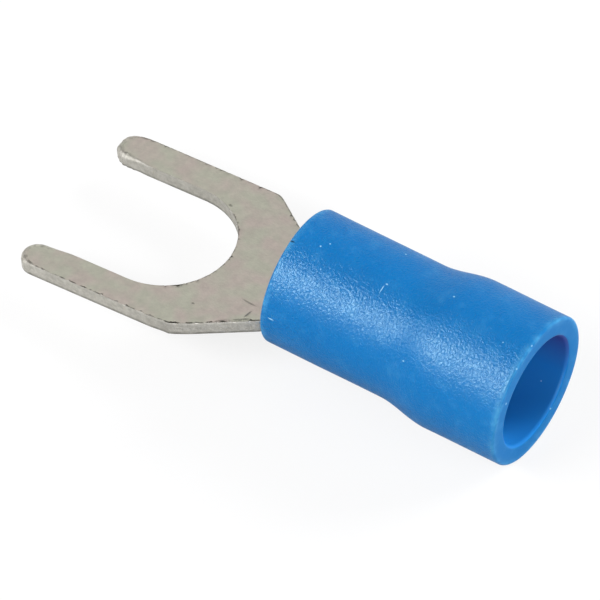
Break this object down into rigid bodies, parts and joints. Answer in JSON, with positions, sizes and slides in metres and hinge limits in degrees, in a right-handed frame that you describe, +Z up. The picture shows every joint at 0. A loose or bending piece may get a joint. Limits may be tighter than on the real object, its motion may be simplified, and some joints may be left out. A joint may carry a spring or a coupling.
{
  "type": "fork terminal",
  "caption": "Insulated fork crimp terminal: a flat tin-plated tongue with an open slot for a stud, leading to a rolled wire barrel in a flared plastic sleeve.",
  "frame": {"origin": "middle of the conductor barrel, on its axis", "axes": "+X along the wire's axis, out of the sleeve's mouth, so the fork points to -X; Y across the two prongs; +Z up, on the side of the tongue's top face"},
  "size_m": [0.02, 0.0078, 0.006],
  "materials": {
    "tin_plated_copper": "satin tin plate over copper strip, with sheared edges",
    "blue_pvc": "semi-gloss moulded PVC with a fine grain"
  },
  "bodies": {
    "root": {"fork_lug": "tin_plated_copper", "insulation_sleeve": "blue_pvc"}
  },
  "joints": []
}
